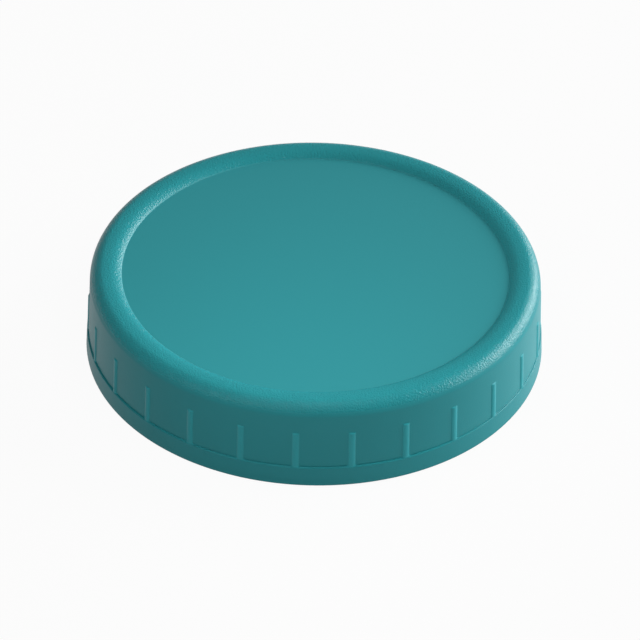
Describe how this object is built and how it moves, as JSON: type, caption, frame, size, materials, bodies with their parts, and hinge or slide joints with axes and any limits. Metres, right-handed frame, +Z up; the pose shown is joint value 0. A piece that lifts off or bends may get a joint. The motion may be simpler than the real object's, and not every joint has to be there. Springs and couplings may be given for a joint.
{
  "type": "screw lid",
  "caption": "Round moulded plastic screw lid for a wide-mouth jar: sunk flat top inside a rounded rim, skirt with grip ribs above a plain band, and a screw thread inside.",
  "frame": {"origin": "centre of the open mouth, in the plane of the foot that the lid stands on", "axes": "+Z up along the lid's axis, from the open mouth to the closed top; the picture looks along +Y"},
  "size_m": [0.092, 0.092, 0.0188],
  "materials": {
    "moulded_polypropylene": "teal moulded polypropylene: matt sunk panel, fine spark-eroded grain on the rim, satin skirt, ribs and band"
  },
  "bodies": {
    "root": {"screw_lid": "moulded_polypropylene"}
  },
  "joints": []
}
